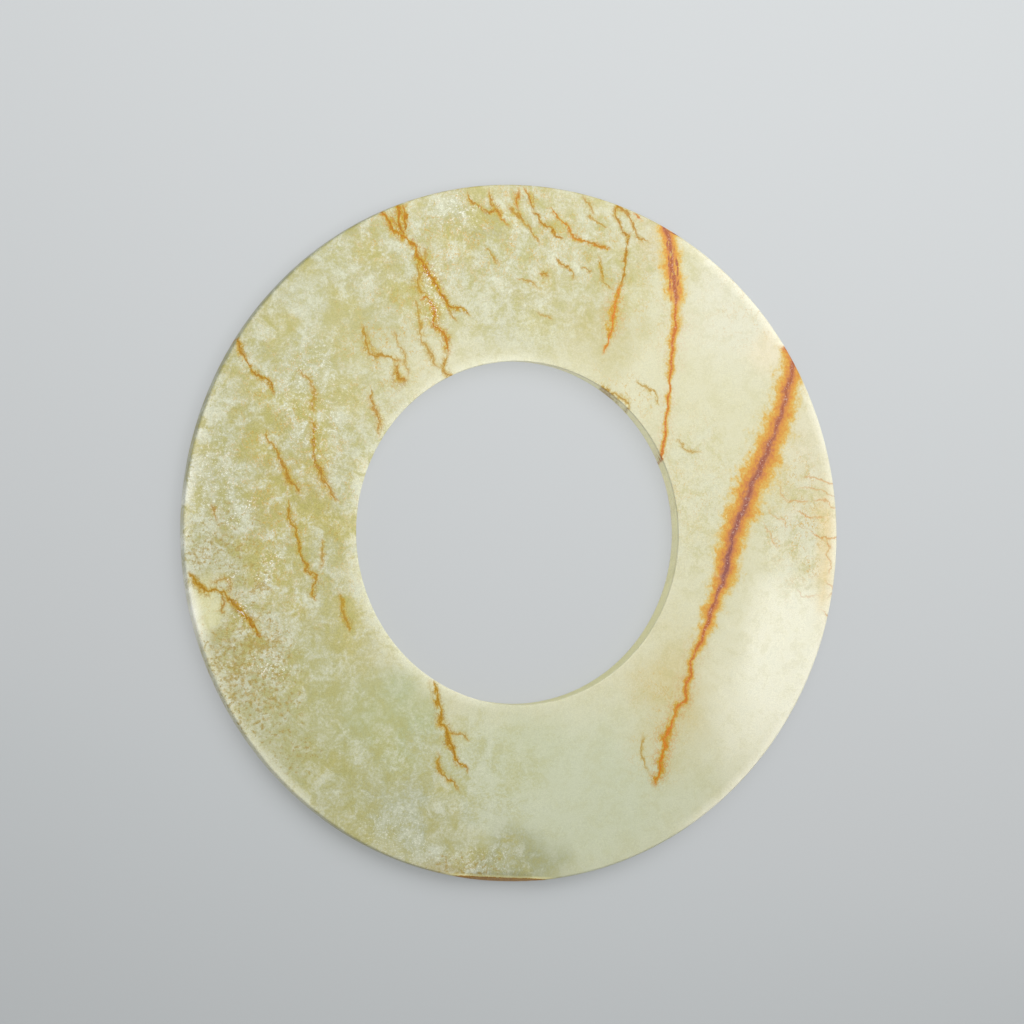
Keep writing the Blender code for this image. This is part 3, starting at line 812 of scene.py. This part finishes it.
def crack_group():
    """Turns a crack's field into its open line, with the twigs beside it, and the stain around it."""
    tree, given, result = new_group("stained crack", "ShaderNodeTree", {
        "Field": ("Vector", (*NO_CRACK, 0.0)), "Strength": ("Float", 0.0), "Wander": ("Float", 0.5),
        "Bays": ("Float", 0.5), "Fine": ("Float", 0.5),
    }, {"Line": "Float", "Line Colour": "Color", "Stain": "Float", "Stain Colour": "Color", "Open": "Float"})
    aside, width, heat = add(tree, "ShaderNodeSeparateXYZ", {0: given["Field"]}).outputs
    hot = ramped(tree, heat, *HOT)
    # An ochre crack wanders so much that it throws loops and twigs. A russet one keeps its way.
    swing = ramped(tree, heat, *HOT, 2.4, 0.9)
    wander = maths(tree, "SUBTRACT", given["Wander"], 0.5)
    course = maths(tree, "ABSOLUTE", maths(tree, "ADD", aside, times(tree, wander, swing)))
    bay = maths(tree, "ADD", 1.0, maths(tree, "ADD", about(tree, given["Bays"], 2.4),
                                        about(tree, given["Fine"], 3.0)))
    thick = times(tree, maths(tree, "ADD", 0.13, times(tree, width, 0.08)), bay)
    main = ramped(tree, maths(tree, "DIVIDE", course, maths(tree, "MAXIMUM", thick, 0.02)), 1.5, 0.5)
    ratio = maths(tree, "DIVIDE", course, width)
    near = times(tree, ramped(tree, ratio, 4.5, 1.0), maths(tree, "SUBTRACT", 1.0, hot))
    twigs = times(tree, ramped(tree, maths(tree, "ABSOLUTE", wander), 0.030, 0.008), near, 0.8)
    broken = maths(tree, "MAXIMUM", hot, ramped(tree, given["Fine"], 0.36, 0.5, 0.5, 1.0))
    line = maths(tree, "MAXIMUM", times(tree, main, broken), twigs)

    swell = maths(tree, "ADD", 1.0, maths(tree, "ADD", about(tree, given["Bays"], -1.1),
                                          times(tree, wander, -1.4)))
    ragged = maths(tree, "ADD", times(tree, ratio, swell),
                   about(tree, given["Fine"], ramped(tree, heat, *HOT, 3.0, 1.1)))
    paler = times(tree, maths(tree, "SUBTRACT", 1.0, heat), hot, 0.22)
    outward = times(tree, maths(tree, "MAXIMUM", ragged, 0.0), ramped(tree, heat, *HOT, 0.25, 0.205))
    outward = maths(tree, "ADD", outward, paler)
    russet = spectrum(tree, outward, RUSSET_STAIN)
    ochre = spectrum(tree, outward, OCHRE_STAIN)
    opacity = add(tree, "ShaderNodeMix", {"Factor": hot, 2: ochre[1], 3: russet[1]}).outputs[0]
    for title, value in (("Line", times(tree, line, given["Strength"])),
                         ("Line Colour", spectrum(tree, heat, LINE_TONES)[0]),
                         ("Stain", times(tree, opacity, given["Strength"])),
                         ("Stain Colour", mixed(tree, hot, ochre[0], russet[0])),
                         ("Open", times(tree, main, hot, given["Strength"]))):
        tree.links.new(value, result[title])
    return tree


# White wisps, olive stone, gold threads, rotten spots, chips in an open crack and crystals
PALE = (201, 203, 181)
OLIVE = (166, 160, 90)
GOLD = (186, 146, 34)
BROWN = (161, 139, 64)
CHIPPED = (206, 186, 170)
CRYSTAL = (238, 239, 232)


def nephrite():
    """The polished stone in one material: its cream and olive body, clouds, grain, cracks and stains."""
    material = bpy.data.materials.new("nephrite")
    material.use_nodes = True
    tree = material.node_tree
    shader = tree.nodes["Principled BSDF"]
    cracks = crack_group()

    metres = add(tree, "ShaderNodeTexCoord").outputs["Object"]
    place = scaled(tree, metres, 1000.0)
    # The body colour holds painted light and shade as well as the stone's own colour
    body, veined = (add(tree, "ShaderNodeAttribute", attribute_name="body").outputs[title]
                    for title in ("Color", "Alpha"))
    traits = add(tree, "ShaderNodeAttribute", attribute_name="traits").outputs["Vector"]
    clouded, spotted, sparkling = add(tree, "ShaderNodeSeparateXYZ", {0: traits}).outputs
    amount = maths(tree, "ADD", times(tree, clouded, 0.80), 0.20)

    # Wisps and flecks of white, and the clear olive stone between them
    cloud = noise(tree, place, 0.30, 5.0, 0.70, 0.5)
    fine = noise(tree, place, 1.7, 3.0, 0.65, 0.3)
    grain = noise(tree, place, 4.5, 1.0, 0.6)
    veil = maths(tree, "ADD", times(tree, cloud, 0.70), times(tree, fine, 0.30))
    whitened = maths(tree, "ADD", veil, times(tree, spotted, 0.05))
    white = times(tree, ramped(tree, whitened, 0.47, 0.66), amount)
    colour = mixed(tree, white, body, tone(*PALE))
    olive = times(tree, ramped(tree, whitened, 0.53, 0.38), amount)
    colour = mixed(tree, times(tree, olive, 0.8), colour, tone(*OLIVE))

    # Brownish spots where the stone is rotten
    speckle = noise(tree, place, 1.15, 4.0, 0.62)
    spots = ramped(tree, maths(tree, "ADD", speckle, times(tree, spotted, 0.22)), 0.60, 0.74)
    spots = times(tree, spots, ramped(tree, spotted, 0.02, 0.3), ramped(tree, fine, 0.62, 0.40, 0.45, 0.85))
    colour = mixed(tree, spots, colour, tone(*BROWN))

    # Threads of gold in the finest cracks, which mostly run up and down the picture
    stretched = add(tree, "ShaderNodeVectorMath", {0: place, 1: (1.0, 0.7, 1.0)},
                    operation="MULTIPLY").outputs[0]
    wander = noise(tree, stretched, 0.85, 4.0, 0.64)
    bays = noise(tree, place, 0.28, 2.0, 0.55)
    veins = ramped(tree, maths(tree, "ABSOLUTE", maths(tree, "SUBTRACT", wander, 0.47)), 0.032, 0.006)
    here = times(tree, ramped(tree, bays, 0.42, 0.56), ramped(tree, fine, 0.40, 0.55), veined)
    colour = mixed(tree, times(tree, veins, here, 0.9), colour, tone(*GOLD))

    # Each place's two nearest cracks, the nearest laid over the other
    for name in ("second_crack", "crack"):
        field = add(tree, "ShaderNodeAttribute", attribute_name=name).outputs["Vector"]
        strength = add(tree, "ShaderNodeAttribute", attribute_name=name + "_strength").outputs["Fac"]
        stained = add(tree, "ShaderNodeGroup", {
            "Field": field, "Strength": strength, "Wander": wander, "Bays": bays, "Fine": fine},
            node_tree=cracks).outputs
        colour = mixed(tree, stained["Stain"], colour, stained["Stain Colour"])
        colour = mixed(tree, stained["Line"], colour, stained["Line Colour"])
    chips = maths(tree, "ADD", fine, about(tree, grain, 0.6))
    pits = times(tree, stained["Open"], ramped(tree, chips, 0.57, 0.64), 0.42)
    colour = mixed(tree, pits, colour, tone(*CHIPPED))
    crystals = times(tree, ramped(tree, chips, 0.61, 0.67), sparkling)
    colour = mixed(tree, crystals, colour, tone(*CRYSTAL))

    # The scrap of skin, by how far each place lies past the facet's plane, in mm
    past = add(tree, "ShaderNodeVectorMath", {0: metres, 1: facet_point}, operation="SUBTRACT").outputs[0]
    past = dot(tree, past, facet_normal * 1000)
    colour = mixed(tree, ramped(tree, past, -0.7, -0.2, 0.0, 0.6), colour, tone(*SKIN_EDGE))
    skin = ramped(tree, maths(tree, "ADD", past, about(tree, fine, 0.4)), -0.16, -0.08)
    amber = mixed(tree, ramped(tree, grain, 0.42, 0.58), tone(*SKIN), tone(*SKIN_DARK))
    colour = mixed(tree, skin, colour, amber)

    # A fine grain runs through it all, weaker in the clear stone
    depth = maths(tree, "ADD", times(tree, clouded, 0.40), 0.34)
    shade = maths(tree, "ADD", 1.0, about(tree, grain, depth))
    tree.links.new(scaled(tree, colour, shade), shader.inputs["Base Color"])
    rough = maths(tree, "ADD", times(tree, white, 0.12), 0.30)
    rough = maths(tree, "ADD", rough, times(tree, stained["Open"], 0.25))
    tree.links.new(rough, shader.inputs["Roughness"])
    height = maths(tree, "SUBTRACT", times(tree, fine, 0.15), times(tree, stained["Line"], 0.4))
    bump = add(tree, "ShaderNodeBump", {"Height": height, "Distance": 0.0001, "Strength": 0.6})
    tree.links.new(bump.outputs[0], shader.inputs["Normal"])
    shader.inputs["Subsurface Weight"].default_value = 0.13
    shader.inputs["Subsurface Radius"].default_value = (1.0, 0.9, 0.6)
    shader.inputs["Subsurface Scale"].default_value = 0.0015
    shader.inputs["Specular IOR Level"].default_value = 0.38
    return material


stone = nephrite()
disc = built("jade_disc", section_mesh(), turned_stone_tree(), {
    "Around": AROUND, "Mid Height": MID_HEIGHT, "Bore Radius": BORE_RADIUS, "Land Radius": LAND_RADIUS,
    "Bore Offset": (*BORE_OFFSET, 0.0), "Bore Lean": (*BORE_LEAN, 0.0),
    "Facet Point": facet_point, "Facet Normal": facet_normal,
    "Unevenness": UNEVENNESS, "Level Foot": LEVEL_FOOT, "Seed": GRINDING_SEED, "Material": stone})
stain_fields(disc.data)
body_fields(disc.data)
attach(disc, "root")
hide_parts("jade_huan_disc")

# The floor and the light.
# A sheet of pale paper that glows with painted light of its own as well, so that the disc hardly shades it
# except along its bottom, under a large softbox overhead, smaller ones at the sides and light all round.
FLOOR_SIZE = 6.0
# Up the picture, and between which places along it the glow grows and the face darkens, in metres
PAPER_UPWARD = (0.25, 0.97, 0.0)
PAPER_GLOW_RISE = (-0.30, 0.30)
PAPER_DARKEN = (-0.072, -0.045)
# The face before and after it darkens, and for each the glow before and after it grows
PAPER_FACE = ((137, 140, 141), (104, 106, 107))
PALE_FACE_GLOW = ((110, 112, 113), (174, 177, 178))
DARK_FACE_GLOW = ((144, 146, 147), (193, 196, 197))
DAYLIGHT = 0.364


def glowing_paper():
    """Paper that glows with painted light, more so up the picture. Above the disc's lower edge it has a
    darker face, which shows less shade, and more painted glow makes up for that."""
    material = bpy.data.materials.new("paper")
    material.use_nodes = True
    tree = material.node_tree
    shader = tree.nodes["Principled BSDF"]
    ground = add(tree, "ShaderNodeTexCoord").outputs["Object"]
    upward = dot(tree, ground, PAPER_UPWARD)
    glow_rise = ramped(tree, upward, *PAPER_GLOW_RISE)
    dark = ramped(tree, upward, *PAPER_DARKEN)
    face = mixed(tree, dark, *(tone(*shade) for shade in PAPER_FACE))
    glows = [mixed(tree, glow_rise, *(tone(*shade) for shade in glow))
             for glow in (PALE_FACE_GLOW, DARK_FACE_GLOW)]
    tree.links.new(face, shader.inputs["Base Color"])
    # The glow is painted light: the paper shines of itself, and no lamp gives it
    tree.links.new(mixed(tree, dark, *glows), shader.inputs["Emission Color"])
    shader.inputs["Emission Strength"].default_value = 1.0
    shader.inputs["Roughness"].default_value = 0.9
    return material


half = FLOOR_SIZE / 2
floor_mesh = bpy.data.meshes.new("floor")
floor_mesh.from_pydata([(-half, -half, 0), (half, -half, 0), (half, half, 0), (-half, half, 0)], [],
                       [(0, 1, 2, 3)])
floor_mesh.materials.append(glowing_paper())
floor = bpy.data.objects.new("floor", floor_mesh)
bpy.context.scene.collection.objects.link(floor)


def softbox(name, place, size, power, aim=(0.0, 0.0, 0.0)):
    """A square soft light that faces a point."""
    data = bpy.data.lights.new(name, "AREA")
    data.shape = "SQUARE"
    data.size = size
    data.energy = power
    lamp = bpy.data.objects.new(name, data)
    lamp.location = place
    lamp.rotation_euler = (Vector(place) - Vector(aim)).to_track_quat("Z", "Y").to_euler()
    bpy.context.scene.collection.objects.link(lamp)
    return lamp


overhead = softbox("overhead", (0.035, 0.118, 0.25), 0.345, 1.035, (0.0, 0.084, 0.0))
overhead.visible_glossy = False
softbox("right", (0.9, 0.1, 0.40), 0.5, 0.6)
softbox("left", (-0.9, 0.05, 0.30), 0.5, 1.0)

world = bpy.data.worlds.new("studio")
world.use_nodes = True
background = world.node_tree.nodes["Background"]
background.inputs["Color"].default_value = (1.0, 1.0, 1.0, 1.0)
background.inputs["Strength"].default_value = DAYLIGHT
bpy.context.scene.world = world
bpy.context.scene.view_settings.view_transform = "Standard"
